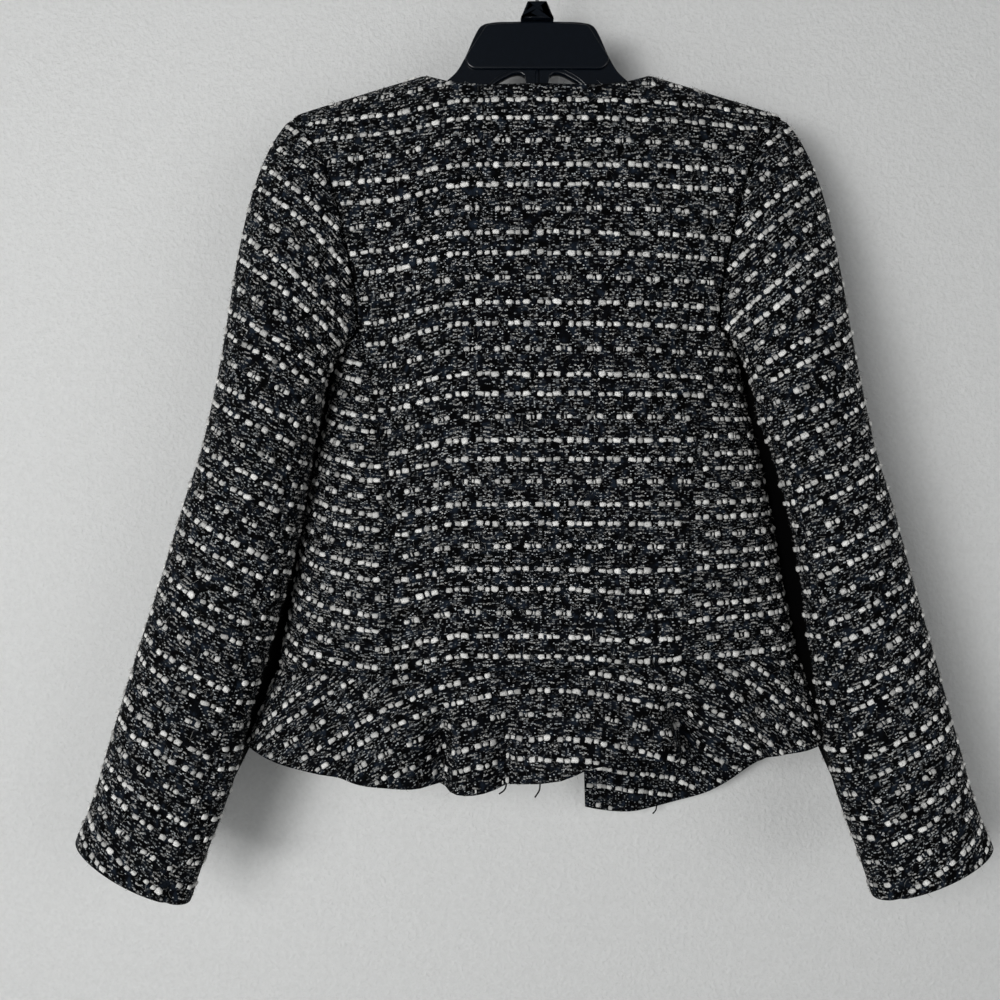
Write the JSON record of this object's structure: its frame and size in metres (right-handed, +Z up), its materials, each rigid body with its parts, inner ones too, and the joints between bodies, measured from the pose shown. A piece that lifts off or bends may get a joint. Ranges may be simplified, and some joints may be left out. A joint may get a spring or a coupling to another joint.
{
  "type": "open-front peplum jacket on a hanger",
  "caption": "Short collarless open-front jacket of black and white slub tweed, with long sleeves and a flared peplum, hung on a moulded hanger.",
  "frame": {"origin": "inside top of the hanger's hook, where a rail or a peg bears", "axes": "+Z up, -Y the way the jacket's back faces (the picture's side), +Y the way its open front faces, +X the wearer's right"},
  "size_m": [0.6982, 0.136, 0.7692],
  "materials": {
    "tweed": "woven slub tweed, dark marl ground with raised off-white slubs, soft nap",
    "hanger_plastic": "satin black moulded plastic",
    "hook_metal": "plated steel wire"
  },
  "bodies": {
    "root": {"back_center": "tweed", "side_back_left": "tweed", "side_back_right": "tweed", "front_left": "tweed", "front_right": "tweed", "sleeve_upper_left": "tweed", "sleeve_upper_right": "tweed", "sleeve_under_left": "tweed", "sleeve_under_right": "tweed", "peplum_back": "tweed", "peplum_front_left": "tweed", "peplum_front_right": "tweed", "hanger_body": "hanger_plastic", "hanger_size_cap": "hanger_plastic", "hanger_hook": "hook_metal"}
  },
  "joints": []
}
